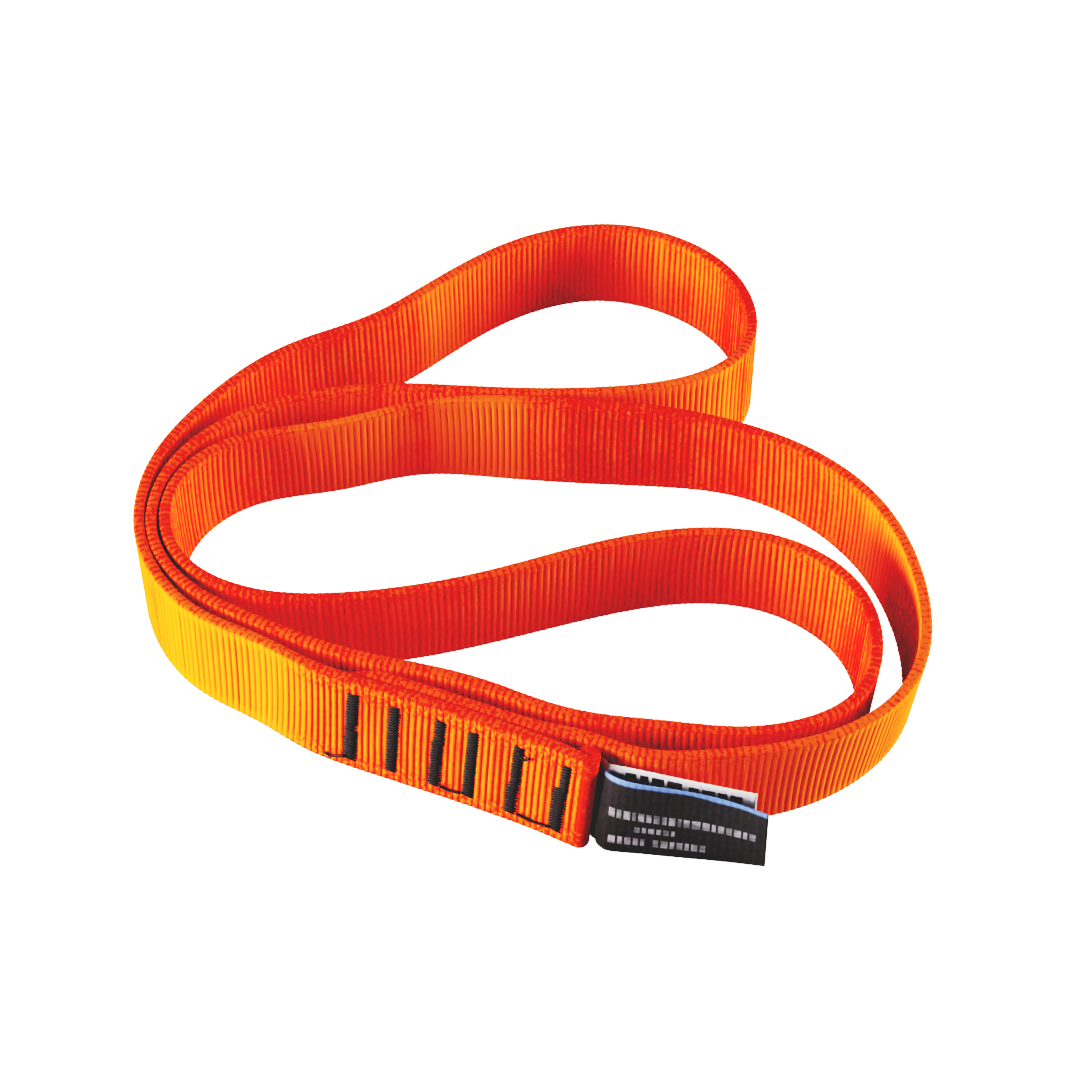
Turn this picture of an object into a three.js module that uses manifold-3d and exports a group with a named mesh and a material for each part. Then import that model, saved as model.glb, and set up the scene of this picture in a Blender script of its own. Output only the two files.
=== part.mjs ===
// Sewn climbing sling: one closed band of 25 mm tubular tape, standing on its lower edge and folded
// so that three strands lie side by side at the left and lobes open to the right. The tape's two
// ends overlap in a splice held by six bar tacks, and a folded fabric label is sewn in under the
// outer end.
// Millimetres, +Z up, +Y away from the viewer who faces the splice.
import * as THREE from "three";
import { mergeVertices } from "three/addons/utils/BufferGeometryUtils.js";
import Module from "manifold-3d";

const wasm = await Module();
wasm.setup();

// ---- driving dimensions ----
const TAPE_WIDTH = 25;
const TAPE_THICKNESS = 2.3;
const TAPE_CHAMFER = 0.5;
const GAP = 0.3;                      // between pieces that meet
const STEPS_PER_POINT = 2;            // facets between two route points

const HEM_PITCH = 2.3;                // between the outer ply and the ply turned under it
const TUCK_THICKNESS = 1.6;           // the turned-under ply is pressed flatter
const FOLD_THICKNESS = 1.9;
const TUCK_LENGTH = 2.6;
const HEM_FADE = 4;                   // from the fold to the tape's full thickness
const HEM_STEPS = 12;

const BAR_STATIONS = [0.62, 1.7, 2.52, 3.14, 3.99, 4.88];    // route stations, right to left
const BAR_WIDTH = 2.5;
const BAR_THICKNESS = 0.7;
const BAR_PROUD = 0.2;                // how far a bar stands above the tape's face
const BAR_LOW = 3.0;
const BAR_HIGH = 21.4;
const LEG_SIZE = 1.4;
const LEG_HEIGHTS = [5.5, 12.2, 18.9];
const STITCH_CLEARANCE = 0.25;

const THREAD_SIZE = 0.7;              // jump threads and loose thread ends
const THREAD_HEIGHT = 2.4;            // height of the jump threads on the tape's face
const THREAD_STEPS = 4;
const BAR_CLEAR = 0.16;               // half a bar and a gap, in stations
const UPPER_END = { reach: 0.42, from: 19.2, to: 20.4 };     // reach in stations, heights in mm
const LOWER_END = { reach: 0.72, from: 3.0, to: 2.2 };

const LABEL_HEIGHT = 21.5;
const LABEL_THICKNESS = 0.4;
const TAB_GAP = 0.2;                  // the sewn tab lies closer to the plies than other pieces do
const LABEL_LIFT = 1.0;               // of the back leaf and the sewn tab
const FRONT_LEAF_LIFT = 0.2;
const TAB_STATION = 0.95;             // how far the tab runs in under the outer ply
const TAB_STEPS = 6;

// The middle of the object's footprint in the route's own coordinates.
const FOOTPRINT_CENTRE = [-3.37, -4.56];

// ---- the tape's route: [x, y, lean] at half the tape's width, in the order the tape runs ----
// lean is how far the upper edge stands to the right of the direction of travel.
const SPLICE_OUTER = [
  [8.6, -84.7, 4.2], [2, -80.9, 4.2], [-8, -76.3, 4.2], [-20, -71.2, 4.2], [-31, -66.9, 4.1],
  [-41, -63.1, 3.7],
];
const OUTER_LEFT_BEND = [
  [-48, -60, 3.4], [-53.5, -56.4, 3.0], [-58.5, -52.8, 2.6], [-64.5, -49.5, 2.1], [-71, -46, 1.6],
  [-77, -41.3, 1.2], [-82.3, -34.5, 0.8], [-86.3, -26.5, 0.3], [-88.7, -17.5, 0], [-88.9, -7.5, 0],
  [-87, 2.5, 0], [-83.1, 11.3, 0], [-78.1, 19.5, 0],
];
const FAR_LOBE = [
  [-71.9, 28, 0], [-64.2, 36, 0], [-55.5, 41.9, 0], [-46, 46.2, 0], [-36.5, 51.8, -0.4],
  [-27.5, 60.3, -0.6], [-18.5, 68.9, 0], [-9, 76.5, 0.4], [1, 81.6, 0.9], [11, 84.4, 1.2],
  [21, 84.2, 0.8], [31, 80.7, 0.2], [40.3, 74.5, -0.1], [47.1, 65.9, -0.2], [50.6, 56, 0],
  [51.1, 46.5, 0], [48.4, 38.3, 0.3], [42.5, 31.8, 0.5], [34, 27.5, 0.5], [24, 25.2, 0.3], [11, 24.2, 0],
  [-3, 24.3, -0.5], [-17, 25.2, -0.5], [-28.5, 26.1, -0.6], [-38.5, 26.4, -0.8], [-48.5, 25, -0.8],
  [-58, 22.5, -0.6], [-66.5, 18.6, -0.4],
];
const MIDDLE_LEFT_BEND = [
  [-74, 13, -0.2], [-80, 6.3, 0], [-84.2, -1.8, 0], [-86.1, -10.8, 0], [-85.7, -19.6, 0],
  [-82.7, -27.9, -0.3], [-77.4, -35.2, -0.8], [-70.8, -40.7, -1.2], [-62.9, -45.3, -1.8],
  [-54.8, -49.9, -2.4], [-46.8, -54, -3],
];
const INNER_LOBE = [
  [-38.3, -57.2, -3.3], [-29, -59.6, -3.2], [-20, -61.7, -2.7], [-11, -64.6, -2], [-3, -68.4, -1.4],
  [5, -71.6, -1.2], [14, -73.4, -0.6], [24, -74, 0.1], [34, -75.2, 0.9], [44, -75.4, 1.6],
  [54, -73.1, 1.9], [62.4, -68.9, 2.2], [68.2, -62, 1.6], [70.7, -53.3, 1], [70.6, -44, 0.6],
  [67.5, -34.8, 0.2], [61, -27.3, -0.2], [52.5, -22.1, -0.8], [43, -19.6, -1.3], [33, -19.4, -1.5],
  [22, -21, -1.4], [8, -25.1, -1.5], [-7, -30.6, -2.3], [-22, -35.2, -2.3], [-38, -38.2, -2],
];
const CORE_LEFT_BEND = [
  [-51, -39, -1.8], [-61, -38.3, -0.8], [-70, -35, -0.4], [-77.1, -29.8, 0], [-81.6, -22.2, -0.4],
  [-83.2, -13.5, -0.4], [-82.1, -5, 0], [-78.3, 2.5, 0.8], [-72, 8.5, 2], [-64, 12.2, 3],
];
const NEAR_LOBE = [
  [-55, 13.9, 3.2], [-46, 15.6, 3], [-37.5, 18.7, 3], [-28.5, 21.5, 2.1], [-19, 22.1, 0.5],
  [-7, 21.3, -1.2], [8, 20.2, -1.9], [23, 18.8, -0.7], [35.5, 17.1, 1], [47, 14, 2.6],
  [57.5, 8.6, 2.2], [66.9, 0.7, 1.2], [74.4, -9.2, 0.2], [79.1, -20.7, -0.4], [81.4, -32.5, -0.6],
  [81.8, -44.3, -1.2], [79.5, -55.8, -2.4], [73.6, -65.6, -3.4], [64.8, -73, -3.1],
  [54.8, -77.6, -2.3], [45, -79.9, -1.6], [36, -81.3, -0.9], [27.5, -82.3, -0.2], [20, -82.4, 1.7],
  [13.4, -80.6, 3.8],
];
const SPLICE_INNER = [
  [7, -77.7, 4.2], [0.5, -76.7, 4.2], [-8, -73.4, 4.2], [-20, -68.3, 4.2], [-31, -63.9, 4.1],
  [-42, -59.6, 3.7],
];
const ROUTE = [
  ...SPLICE_OUTER, ...OUTER_LEFT_BEND, ...FAR_LOBE, ...MIDDLE_LEFT_BEND, ...INNER_LOBE,
  ...CORE_LEFT_BEND, ...NEAR_LOBE, ...SPLICE_INNER,
];

// The label's leaves, from the fold to their free ends; a minus lean stands away from the viewer.
const FRONT_LEAF = [
  [12, -85.1, -5], [15, -86.8, -3.2], [19.5, -87.9, -1.5], [28, -89.1, -1.3], [37, -90.8, 0.3],
  [45.8, -93.6, 3.3],
];
const BACK_LEAF = [
  [12, -84.1, -5], [16, -84.3, -3.2], [22, -85.2, -1], [32, -87.5, 0], [43.5, -90, 0.8],
];

// Where the tape is divided into its stretches, as route stations.
const STRETCHES = [
  ["tape_front_left_run", 5.6, 9.5],
  ["tape_outer_bend_front", 9.5, 14],
  ["tape_outer_bend_back", 14, 18.4],
  ["tape_far_lobe_outer_run", 18.4, 25.5],
  ["tape_far_lobe_crown", 25.5, 30.5],
  ["tape_far_lobe_right_bend", 30.5, 36],
  ["tape_far_lobe_return_run", 36, 41],
  ["tape_far_lobe_inner_run", 41, 46.6],
  ["tape_middle_bend_back", 46.6, 51.2],
  ["tape_middle_bend_front", 51.2, 57.6],
  ["tape_inner_lobe_front_run", 57.6, 64.5],
  ["tape_inner_lobe_front_curve", 64.5, 68.8],
  ["tape_inner_lobe_right_bend", 68.8, 73.8],
  ["tape_inner_lobe_crown", 73.8, 77.5],
  ["tape_inner_lobe_back_run", 77.5, 82.4],
  ["tape_core_bend_front", 82.4, 87.2],
  ["tape_core_bend_back", 87.2, 92.2],
  ["tape_near_lobe_back_run", 92.2, 99.5],
  ["tape_near_lobe_shoulder", 99.5, 104.5],
  ["tape_near_lobe_right_bend", 104.5, 109.5],
  ["tape_near_lobe_front_curve", 109.5, 113.5],
  ["tape_near_lobe_front_run", 113.5, 117.3],
];
const SPLICE_OUTER_END = 5.6;
const SPLICE_INNER_START = 117.3;

// ---- materials ----
const tapeMaterial = new THREE.MeshStandardMaterial({ color: 0xee5023, roughness: 0.75, metalness: 0 });
const threadMaterial = new THREE.MeshStandardMaterial({ color: 0x2d2626, roughness: 0.7, metalness: 0 });
const labelFrontMaterial = new THREE.MeshStandardMaterial({
  color: 0x282122, roughness: 0.6, metalness: 0,
});
const labelBackMaterial = new THREE.MeshStandardMaterial({
  color: 0xdcd8d8, roughness: 0.65, metalness: 0,
});

// ---- curves and frames ----

// A uniform cubic B-spline over [x, y, lean] points; a station is an index into the list.
class StationCurve {
  constructor(points) {
    const first = points[0];
    const second = points[1];
    const last = points[points.length - 1];
    const beforeLast = points[points.length - 2];
    this.end = points.length - 1;
    this.points = [
      first.map((value, axis) => 2 * value - second[axis]),
      ...points,
      last.map((value, axis) => 2 * value - beforeLast[axis]),
    ];
  }

  blend(station, weights) {
    const index = Math.min(Math.max(Math.floor(station), 0), this.end - 1);
    const w = weights(station - index);
    const near = this.points.slice(index, index + 4);
    return [0, 1, 2].map((axis) => w.reduce((sum, weight, k) => sum + weight * near[k][axis], 0));
  }

  position(station) {
    return this.blend(station, (u) => [
      (1 - u) ** 3 / 6,
      (3 * u ** 3 - 6 * u ** 2 + 4) / 6,
      (-3 * u ** 3 + 3 * u ** 2 + 3 * u + 1) / 6,
      u ** 3 / 6,
    ]);
  }

  direction(station) {
    const d = this.blend(station, (u) => [
      -((1 - u) ** 2) / 2,
      (3 * u ** 2 - 4 * u) / 2,
      (-3 * u ** 2 + 2 * u + 1) / 2,
      u ** 2 / 2,
    ]);
    return new THREE.Vector2(d[0], d[1]).normalize();
  }
}

function makeFrame(x, y, along, tilt) {
  return {
    centre: new THREE.Vector2(x, y),
    along,
    right: new THREE.Vector2(along.y, -along.x),
    tilt,
  };
}

function frameOn(curve, station) {
  const [x, y, lean] = curve.position(station);
  const along = curve.direction(station);
  const tilt = new THREE.Vector2(along.y, -along.x).multiplyScalar(lean);
  return makeFrame(x, y, along, tilt);
}

// A point of the strip: offset to the right of its middle plane, and height above its lower edge.
function pointOn(frame, offset, height) {
  const share = height / TAPE_WIDTH - 0.5;
  const rise = Math.sqrt(1 - frame.tilt.lengthSq() / TAPE_WIDTH ** 2);
  const plan = frame.centre.clone().addScaledVector(frame.right, offset);
  plan.addScaledVector(frame.tilt, share);
  return new THREE.Vector3(plan.x, plan.y, height * rise);
}

const route = new StationCurve(ROUTE);

// ---- building blocks ----

function closedGeometry(geometry) {
  geometry.deleteAttribute("normal");
  geometry.deleteAttribute("uv");
  const merged = mergeVertices(geometry, 1e-4);
  merged.clearGroups();
  merged.computeVertexNormals();
  return merged;
}

function mapVertices(geometry, mapPoint) {
  const position = geometry.getAttribute("position");
  for (let i = 0; i < position.count; i += 1) {
    const p = mapPoint(position.getX(i), position.getY(i), position.getZ(i));
    position.setXYZ(i, p.x, p.y, p.z);
  }
  return closedGeometry(geometry);
}

// A rectangle with cut corners, in (offset to the left, height) of the strip's section.
function sectionShape(left, right, low, high, chamfer) {
  const shape = new THREE.Shape();
  shape.moveTo(left + chamfer, low);
  shape.lineTo(right - chamfer, low);
  if (chamfer > 0) shape.lineTo(right, low + chamfer);
  shape.lineTo(right, high - chamfer);
  if (chamfer > 0) shape.lineTo(right - chamfer, high);
  shape.lineTo(left + chamfer, high);
  if (chamfer > 0) shape.lineTo(left, high - chamfer);
  shape.lineTo(left, low + chamfer);
  return shape;
}

// Extrudes a section straight and bends it along the frames that frameAt gives from 0 to 1.
function bentStrip(shape, frameAt, steps, offsetScale = () => 1) {
  const straight = new THREE.ExtrudeGeometry(shape, { depth: 1, steps, bevelEnabled: false });
  return mapVertices(straight, (x, y, z) => pointOn(frameAt(z), -x * offsetScale(z), y));
}

// A box in a frame's own directions: along the strip, to its right and up its width.
function frameBox(frame, along, across, up) {
  const box = new THREE.BoxGeometry(along[1] - along[0], across[1] - across[0], up[1] - up[0]);
  box.translate((along[0] + along[1]) / 2, -(across[0] + across[1]) / 2, (up[0] + up[1]) / 2);
  return mapVertices(box, (x, y, z) => {
    const p = pointOn(frame, -y, z);
    return new THREE.Vector3(p.x + x * frame.along.x, p.y + x * frame.along.y, p.z);
  });
}

function toManifold(geometry) {
  const position = geometry.getAttribute("position").array;
  const mesh = new wasm.Mesh({
    numProp: 3,
    vertProperties: new Float32Array(position),
    triVerts: new Uint32Array(geometry.getIndex().array),
  });
  return new wasm.Manifold(mesh);
}

function fromManifold(solid) {
  const mesh = solid.getMesh();
  const geometry = new THREE.BufferGeometry();
  geometry.setAttribute("position", new THREE.BufferAttribute(new Float32Array(mesh.vertProperties), 3));
  geometry.setIndex(new THREE.BufferAttribute(new Uint32Array(mesh.triVerts), 1));
  geometry.computeVertexNormals();
  return geometry;
}

const group = new THREE.Group();
group.position.set(-FOOTPRINT_CENTRE[0], -FOOTPRINT_CENTRE[1], 0);

function addPiece(name, geometry, material) {
  const mesh = new THREE.Mesh(geometry, material);
  mesh.name = name;
  group.add(mesh);
}

// ---- the tape's plain stretches ----

const HALF = TAPE_THICKNESS / 2;
const MILLIMETRES_PER_STATION = 10;   // about, along the whole route
const END_GAP = GAP / 2 / MILLIMETRES_PER_STATION;
const tapeSection = sectionShape(-HALF, HALF, 0, TAPE_WIDTH, TAPE_CHAMFER);

function tapeStretch(from, to) {
  const start = from + END_GAP;
  const length = Math.min(to, route.end) - END_GAP - start;
  const steps = Math.ceil((to - from) * STEPS_PER_POINT);
  return bentStrip(tapeSection, (t) => frameOn(route, start + t * length), steps);
}

// ---- the splice ----

// The outer ply's end: a short tuck, a half turn and then the route itself.
function hemmedFrame(distance) {
  const radius = HEM_PITCH / 2;
  const turn = Math.PI * radius;
  const end = frameOn(route, 0);
  if (distance < TUCK_LENGTH) {
    const back = TUCK_LENGTH - distance;
    const centre = end.centre.clone().addScaledVector(end.right, HEM_PITCH);
    centre.addScaledVector(end.along, back);
    return makeFrame(centre.x, centre.y, end.along.clone().negate(), end.tilt);
  }
  if (distance < TUCK_LENGTH + turn) {
    const angle = (distance - TUCK_LENGTH) / radius;
    const centre = end.centre.clone().addScaledVector(end.right, radius);
    centre.addScaledVector(end.right, radius * Math.cos(angle));
    centre.addScaledVector(end.along, -radius * Math.sin(angle));
    const along = end.right.clone().multiplyScalar(-Math.sin(angle));
    along.addScaledVector(end.along, -Math.cos(angle));
    return makeFrame(centre.x, centre.y, along, end.tilt);
  }
  return null;
}

// The turned-under ply is thinner than the tape, which thickens round the fold and just after it.
function hemThickness(distance) {
  const turn = Math.PI * HEM_PITCH / 2;
  const round = THREE.MathUtils.clamp((distance - TUCK_LENGTH) / turn, 0, 1);
  const after = THREE.MathUtils.clamp((distance - TUCK_LENGTH - turn) / HEM_FADE, 0, 1);
  const folded = THREE.MathUtils.lerp(TUCK_THICKNESS, FOLD_THICKNESS, round);
  return THREE.MathUtils.lerp(folded, TAPE_THICKNESS, after) / TAPE_THICKNESS;
}

function outerPly() {
  const hemLength = TUCK_LENGTH + Math.PI * HEM_PITCH / 2;
  const runSteps = Math.ceil(SPLICE_OUTER_END * STEPS_PER_POINT);
  const steps = HEM_STEPS + runSteps;
  const runStations = SPLICE_OUTER_END - END_GAP;
  const frameAt = (t) => {
    const step = t * steps;
    const hemmed = step < HEM_STEPS - 1e-6 ? hemmedFrame(step / HEM_STEPS * hemLength) : null;
    return hemmed ?? frameOn(route, (step - HEM_STEPS) / runSteps * runStations);
  };
  const distanceAt = (t) => {
    const step = t * steps;
    if (step < HEM_STEPS) return step / HEM_STEPS * hemLength;
    return hemLength + (step - HEM_STEPS) / runSteps * runStations * MILLIMETRES_PER_STATION;
  };
  return bentStrip(tapeSection, frameAt, steps, (t) => hemThickness(distanceAt(t)));
}

// How far the inner ply's middle lies behind the outer ply's middle, at an outer station.
const PLY_SAMPLES = 200;

function plyDistance(frame) {
  let best = Infinity;
  let distance = 0;
  for (let i = 0; i <= PLY_SAMPLES; i += 1) {
    const station = THREE.MathUtils.lerp(SPLICE_INNER_START - 1, route.end, i / PLY_SAMPLES);
    const [x, y] = route.position(station);
    const offset = new THREE.Vector2(x, y).sub(frame.centre);
    const skew = Math.abs(offset.dot(frame.along));
    if (skew < best) {
      best = skew;
      distance = offset.dot(frame.right);
    }
  }
  return distance;
}

// One bar tack: a bar on each face of the splice, joined by legs that pass through both plies.
function barTack(station, margin) {
  const frame = frameOn(route, station);
  const inner = plyDistance(frame);
  const halfWidth = BAR_WIDTH / 2 + margin;
  const front = [-HALF - BAR_PROUD - margin, -HALF - BAR_PROUD + BAR_THICKNESS + margin];
  const back = [inner + HALF - BAR_THICKNESS - margin, inner + HALF + margin];
  const up = [BAR_LOW - margin, BAR_HIGH + margin];
  let tack = toManifold(frameBox(frame, [-halfWidth, halfWidth], front, up));
  tack = tack.add(toManifold(frameBox(frame, [-halfWidth, halfWidth], back, up)));
  const halfLeg = LEG_SIZE / 2 + margin;
  for (const height of LEG_HEIGHTS) {
    const reach = [front[0] + margin, back[1] - margin];
    const leg = frameBox(frame, [-halfLeg, halfLeg], reach, [height - halfLeg, height + halfLeg]);
    tack = tack.add(toManifold(leg));
  }
  return tack;
}

// The label's sewn tab lies between the turned-under ply and the inner ply.
function labelTab() {
  const frameAt = (t) => {
    const frame = frameOn(route, TAB_STATION * (1 - t));
    const shift = plyDistance(frame) - HALF - TAB_GAP - LABEL_THICKNESS / 2;
    frame.centre.addScaledVector(frame.right, shift);
    return frame;
  };
  const half = LABEL_THICKNESS / 2;
  const shape = sectionShape(-half, half, LABEL_LIFT, LABEL_LIFT + LABEL_HEIGHT, 0);
  const straight = new THREE.ExtrudeGeometry(shape, { depth: 1, steps: TAB_STEPS, bevelEnabled: false });
  return mapVertices(straight, (x, y, z) => pointOn(frameAt(z), x, y));
}

const cutters = BAR_STATIONS.map((station) => barTack(station, STITCH_CLEARANCE));

function cutByStitches(geometry, stitches) {
  let solid = toManifold(geometry);
  for (const cutter of stitches) solid = solid.subtract(cutter);
  return fromManifold(solid);
}

addPiece("tape_splice_outer_ply", cutByStitches(outerPly(), cutters), tapeMaterial);
const innerPly = tapeStretch(SPLICE_INNER_START, route.end);
addPiece("tape_splice_inner_ply", cutByStitches(innerPly, cutters), tapeMaterial);
for (const [name, from, to] of STRETCHES) addPiece(name, tapeStretch(from, to), tapeMaterial);

BAR_STATIONS.forEach((station, index) => {
  addPiece(`bar_tack_${index + 1}`, fromManifold(barTack(station, 0)), threadMaterial);
});

// ---- jump threads between bars, and loose thread ends ----

// A thread laid on the outer face between two stations, at heights that run from low to high.
function faceThread(fromStation, toStation, low, high) {
  const outside = HALF + GAP;
  const shape = sectionShape(outside, outside + THREAD_SIZE, 0, THREAD_SIZE, 0);
  const options = { depth: 1, steps: THREAD_STEPS, bevelEnabled: false };
  const straight = new THREE.ExtrudeGeometry(shape, options);
  return mapVertices(straight, (x, y, z) => {
    const frame = frameOn(route, THREE.MathUtils.lerp(fromStation, toStation, z));
    return pointOn(frame, -x, y + THREE.MathUtils.lerp(low, high, z));
  });
}

const [bar1, bar2, bar3, bar4, , bar6] = BAR_STATIONS;
const jump = (from, to) => faceThread(from + BAR_CLEAR, to - BAR_CLEAR, THREAD_HEIGHT, THREAD_HEIGHT);
const upperEnd = faceThread(bar2 - UPPER_END.reach, bar2 - BAR_CLEAR, UPPER_END.from, UPPER_END.to);
const lowerEnd = faceThread(bar6 + BAR_CLEAR, bar6 + LOWER_END.reach, LOWER_END.from, LOWER_END.to);
addPiece("jump_thread_1", jump(bar1, bar2), threadMaterial);
addPiece("jump_thread_2", jump(bar3, bar4), threadMaterial);
addPiece("thread_end_1", upperEnd, threadMaterial);
addPiece("thread_end_2", lowerEnd, threadMaterial);

// ---- the label ----

function leaf(points, lift) {
  const curve = new StationCurve(points);
  const half = LABEL_THICKNESS / 2;
  const shape = sectionShape(-half, half, lift, lift + LABEL_HEIGHT, 0);
  return bentStrip(shape, (t) => frameOn(curve, t * curve.end), curve.end * STEPS_PER_POINT);
}

addPiece("label_sewn_tab", cutByStitches(labelTab(), cutters.slice(0, 1)), labelBackMaterial);
addPiece("label_front_leaf", leaf(FRONT_LEAF, FRONT_LEAF_LIFT), labelFrontMaterial);
addPiece("label_back_leaf", leaf(BACK_LEAF, LABEL_LIFT), labelBackMaterial);

export default group;
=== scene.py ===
"""A sewn webbing sling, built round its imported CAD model: ribbed two-tone tape, bar tacks and a label.

The tape follows the same route as the CAD model. Everything is in metres, in the CAD model's frame.
"""

import math

import bpy
import numpy as np
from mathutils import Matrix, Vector


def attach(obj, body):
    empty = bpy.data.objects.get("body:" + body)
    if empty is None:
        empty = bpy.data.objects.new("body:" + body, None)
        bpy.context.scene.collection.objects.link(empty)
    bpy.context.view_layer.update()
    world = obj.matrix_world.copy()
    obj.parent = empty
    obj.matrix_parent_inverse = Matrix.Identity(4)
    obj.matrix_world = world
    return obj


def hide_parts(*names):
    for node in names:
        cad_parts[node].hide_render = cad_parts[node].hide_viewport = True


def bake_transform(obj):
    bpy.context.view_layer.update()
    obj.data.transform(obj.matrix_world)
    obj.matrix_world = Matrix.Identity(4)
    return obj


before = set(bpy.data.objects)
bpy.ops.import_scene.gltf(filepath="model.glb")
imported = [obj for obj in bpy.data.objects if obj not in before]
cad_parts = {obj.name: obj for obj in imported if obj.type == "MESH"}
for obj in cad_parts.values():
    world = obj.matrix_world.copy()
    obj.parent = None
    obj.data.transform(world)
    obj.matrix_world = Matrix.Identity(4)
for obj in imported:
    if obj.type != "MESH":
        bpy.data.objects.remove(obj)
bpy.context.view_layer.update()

# ---- sizes, in metres ----
TAPE_WIDTH = 0.025
HALF = 0.00125                 # half the tape's thickness, with its raised ribs
EDGE_ROUND = 0.0005            # how far the rounded edges reach down the faces
RIB_PITCH = 0.0015
RIB_DEPTH = 0.00034
RIB_BOW = 0.00025              # how far the ribs stray from straight lines across the tape
YARN_PITCH = 0.00062           # of the yarns side by side on a rib
SELVEDGE = 0.0030              # the band along each edge where the ribs end
HEM_RADIUS = 0.00115
TUCK_LENGTH = 0.0026
TUCK_SHARE = 0.70              # thickness of the tucked ply, as a share of the tape's
FOLD_SHARE = 0.84              # and of the outer ply where the fold starts
HEM_FADE = 0.004               # the outer ply is full thickness from here on
CUT_FADE = 0.009               # the inner ply thins out over this length at its cut end
CUT_SHARE = 0.25
SPLICE_INNER_START = 117.3     # a route station: an index into the list of points below

BAR_STATIONS = (0.62, 1.70, 2.52, 3.14, 3.99, 4.88)
BAR_WIDTH = 0.0028             # the stitches dive into the tape at both ends
BAR_LEAN = 0.0007              # how far a bar leans back toward the hem over its height
BAR_LOW = 0.0030
BAR_HIGH = 0.0214
BAR_PRESS = 0.00022            # how deep the stitches pull the tape in
BAR_REACH = 0.0019             # how far from a bar's middle the pull fades
STITCH_PITCH = 0.00038
THREAD_RADIUS = 0.00024
LOOSE_RADIUS = 0.0003          # of the jump threads and the loose ends

LABEL_HEIGHT = 0.0215
LABEL_THICKNESS = 0.0004
LABEL_LIFT = 0.0010            # of the back leaf's lower edge
FRONT_LEAF_LIFT = 0.0002
LEAF_START = 0.0016            # where a leaf's bend starts, and the front one's rounded corner
LEAF_CORNER = 0.0030
LEAF_BEND = 0.0070             # where a leaf's bend ends, from its root
LABEL_WEAVE = 0.00036
TAB_STATION = 0.95
TAB_GAP = 0.0002
MARK_PROUD = 0.00004

# The middle of the footprint in the route's own coordinates.
FOOTPRINT_CENTRE = (-0.00337, -0.00456)

# ---- the tape's route: (x, y, lean) at half the tape's width, in the order the tape runs ----
# lean is how far the upper edge stands to the right of the direction of travel.
SPLICE_OUTER = [
    (0.0086, -0.0847, 0.0042), (0.0020, -0.0809, 0.0042), (-0.0080, -0.0763, 0.0042),
    (-0.0200, -0.0712, 0.0042), (-0.0310, -0.0669, 0.0041), (-0.0410, -0.0631, 0.0037),
]
OUTER_LEFT_BEND = [
    (-0.0480, -0.0600, 0.0034), (-0.0535, -0.0564, 0.0030), (-0.0585, -0.0528, 0.0026),
    (-0.0645, -0.0495, 0.0021), (-0.0710, -0.0460, 0.0016), (-0.0770, -0.0413, 0.0012),
    (-0.0823, -0.0345, 0.0008), (-0.0863, -0.0265, 0.0003), (-0.0887, -0.0175, 0.0000),
    (-0.0889, -0.0075, 0.0000), (-0.0870, 0.0025, 0.0000), (-0.0831, 0.0113, 0.0000),
    (-0.0781, 0.0195, 0.0000),
]
FAR_LOBE = [
    (-0.0719, 0.0280, 0.0000), (-0.0642, 0.0360, 0.0000), (-0.0555, 0.0419, 0.0000),
    (-0.0460, 0.0462, 0.0000), (-0.0365, 0.0518, -0.0004), (-0.0275, 0.0603, -0.0006),
    (-0.0185, 0.0689, 0.0000), (-0.0090, 0.0765, 0.0004), (0.0010, 0.0816, 0.0009),
    (0.0110, 0.0844, 0.0012), (0.0210, 0.0842, 0.0008), (0.0310, 0.0807, 0.0002),
    (0.0403, 0.0745, -0.0001), (0.0471, 0.0659, -0.0002), (0.0506, 0.0560, 0.0000),
    (0.0511, 0.0465, 0.0000), (0.0484, 0.0383, 0.0003), (0.0425, 0.0318, 0.0005),
    (0.0340, 0.0275, 0.0005), (0.0240, 0.0252, 0.0003), (0.0110, 0.0242, 0.0000),
    (-0.0030, 0.0243, -0.0005), (-0.0170, 0.0252, -0.0005), (-0.0285, 0.0261, -0.0006),
    (-0.0385, 0.0264, -0.0008), (-0.0485, 0.0250, -0.0008), (-0.0580, 0.0225, -0.0006),
    (-0.0665, 0.0186, -0.0004),
]
MIDDLE_LEFT_BEND = [
    (-0.0740, 0.0130, -0.0002), (-0.0800, 0.0063, 0.0000), (-0.0842, -0.0018, 0.0000),
    (-0.0861, -0.0108, 0.0000), (-0.0857, -0.0196, 0.0000), (-0.0827, -0.0279, -0.0003),
    (-0.0774, -0.0352, -0.0008), (-0.0708, -0.0407, -0.0012), (-0.0629, -0.0453, -0.0018),
    (-0.0548, -0.0499, -0.0024), (-0.0468, -0.0540, -0.0030),
]
INNER_LOBE = [
    (-0.0383, -0.0572, -0.0033), (-0.0290, -0.0596, -0.0032), (-0.0200, -0.0617, -0.0027),
    (-0.0110, -0.0646, -0.0020), (-0.0030, -0.0684, -0.0014), (0.0050, -0.0716, -0.0012),
    (0.0140, -0.0734, -0.0006), (0.0240, -0.0740, 0.0001), (0.0340, -0.0752, 0.0009),
    (0.0440, -0.0754, 0.0016), (0.0540, -0.0731, 0.0019), (0.0624, -0.0689, 0.0022),
    (0.0682, -0.0620, 0.0016), (0.0707, -0.0533, 0.0010), (0.0706, -0.0440, 0.0006),
    (0.0675, -0.0348, 0.0002), (0.0610, -0.0273, -0.0002), (0.0525, -0.0221, -0.0008),
    (0.0430, -0.0196, -0.0013), (0.0330, -0.0194, -0.0015), (0.0220, -0.0210, -0.0014),
    (0.0080, -0.0251, -0.0015), (-0.0070, -0.0306, -0.0023), (-0.0220, -0.0352, -0.0023),
    (-0.0380, -0.0382, -0.0020),
]
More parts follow.
